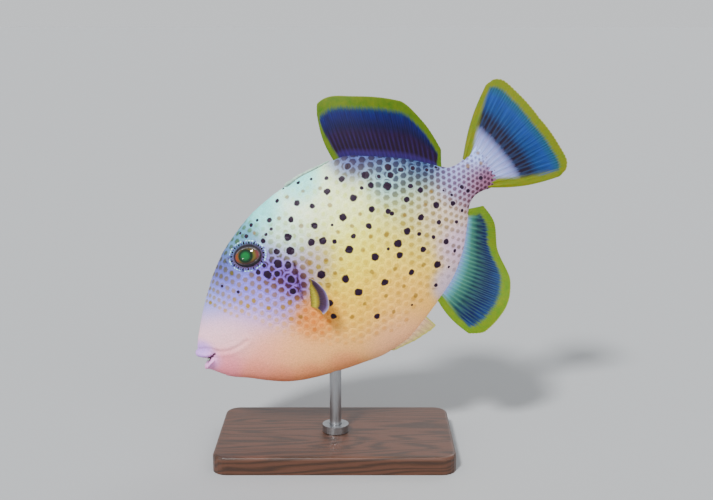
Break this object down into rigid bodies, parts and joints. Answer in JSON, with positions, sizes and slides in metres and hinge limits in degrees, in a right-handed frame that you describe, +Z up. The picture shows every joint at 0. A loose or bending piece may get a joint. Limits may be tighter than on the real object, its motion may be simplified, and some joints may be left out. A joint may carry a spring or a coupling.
{
  "type": "triggerfish model on display stand",
  "caption": "Still life-size model of a deep-bodied spotted triggerfish with yellow-edged fins, nose down on a flat base with one short rod.",
  "frame": {"origin": "centre of the underside of the stand's base", "axes": "+Z up, the head points to -X and a little down, the left flank faces -Y, the tail bends to +Y"},
  "size_m": [0.2526, 0.096, 0.2518],
  "materials": {
    "skin": "satin painted scales, pale yellow flank with dark spots, pink chin",
    "lips": "satin painted lavender lips",
    "teeth": "gloss enamel",
    "eyes": "clear gloss, green pupil in a bronze iris",
    "fins": "satin membrane, blue and dark purple with a yellow-green margin",
    "spine": "satin bone",
    "stand_wood": "oiled dark wood",
    "stand_metal": "satin brushed"
  },
  "bodies": {
    "root": {"head": "skin", "torso": "skin", "caudal_peduncle": "skin", "upper_lip": "lips", "lower_lip": "lips", "teeth_upper": "teeth", "teeth_lower": "teeth", "eye_left": "eyes", "eye_right": "eyes", "first_dorsal_fin": "spine", "second_dorsal_fin": "fins", "anal_fin": "fins", "ventral_flap": "fins", "caudal_fin": "fins", "pectoral_fin_left": "fins", "pectoral_fin_right": "fins", "stand_base": "stand_wood", "stand_collar": "stand_metal", "stand_rod": "stand_metal"}
  },
  "joints": []
}
